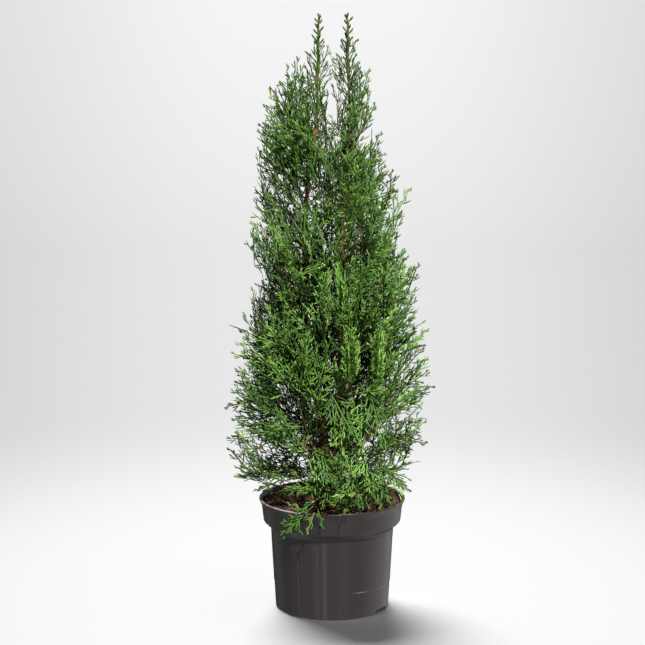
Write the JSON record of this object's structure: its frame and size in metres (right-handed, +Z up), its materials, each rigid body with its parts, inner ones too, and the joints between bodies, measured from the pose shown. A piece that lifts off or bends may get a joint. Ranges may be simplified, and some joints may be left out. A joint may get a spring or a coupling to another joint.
{
  "type": "potted evergreen tree",
  "caption": "Narrow columnar evergreen with two leaders and flat upright foliage fans, in a round dark plastic nursery pot",
  "frame": {"origin": "middle of the pot's flat underside, at floor level", "axes": "+Z up along the plant; the side that the picture shows faces -Y, and its left is -X"},
  "size_m": [0.3099, 0.2985, 0.9107],
  "materials": {
    "pot_plastic": "satin",
    "soil": "rough",
    "bark": "rough",
    "foliage": "matte"
  },
  "bodies": {
    "root": {"bough_lower_1": "bark", "bough_lower_2": "bark", "bough_lower_3": "bark", "bough_lower_4": "bark", "bough_middle_1": "bark", "bough_middle_2": "bark", "bough_middle_3": "bark", "bough_middle_4": "bark", "bough_over_rim": "bark", "bough_shoulder_1": "bark", "bough_shoulder_2": "bark", "bough_shoulder_3": "bark", "bough_skirt_1": "bark", "bough_skirt_2": "bark", "bough_skirt_3": "bark", "bough_skirt_4": "bark", "bough_upper_1": "bark", "bough_upper_2": "bark", "bough_upper_3": "bark", "bough_upper_4": "bark", "foliage_crest_1": "foliage", "foliage_crest_2": "foliage", "foliage_crest_3": "foliage", "foliage_crest_4": "foliage", "foliage_lower_1": "foliage", "foliage_lower_2": "foliage", "foliage_lower_3": "foliage", "foliage_lower_4": "foliage", "foliage_middle_1": "foliage", "foliage_middle_2": "foliage", "foliage_middle_3": "foliage", "foliage_middle_4": "foliage", "foliage_neck_1": "foliage", "foliage_neck_2": "foliage", "foliage_neck_3": "foliage", "foliage_over_rim": "foliage", "foliage_shoulder_1": "foliage", "foliage_shoulder_2": "foliage", "foliage_shoulder_3": "foliage", "foliage_skirt_1": "foliage", "foliage_skirt_2": "foliage", "foliage_skirt_3": "foliage", "foliage_skirt_4": "foliage", "foliage_tip_left": "foliage", "foliage_tip_right": "foliage", "foliage_upper_1": "foliage", "foliage_upper_2": "foliage", "foliage_upper_3": "foliage", "foliage_upper_4": "foliage", "growing_medium": "soil", "leader_left": "bark", "leader_right": "bark", "pot": "pot_plastic", "trunk": "bark"}
  },
  "joints": []
}
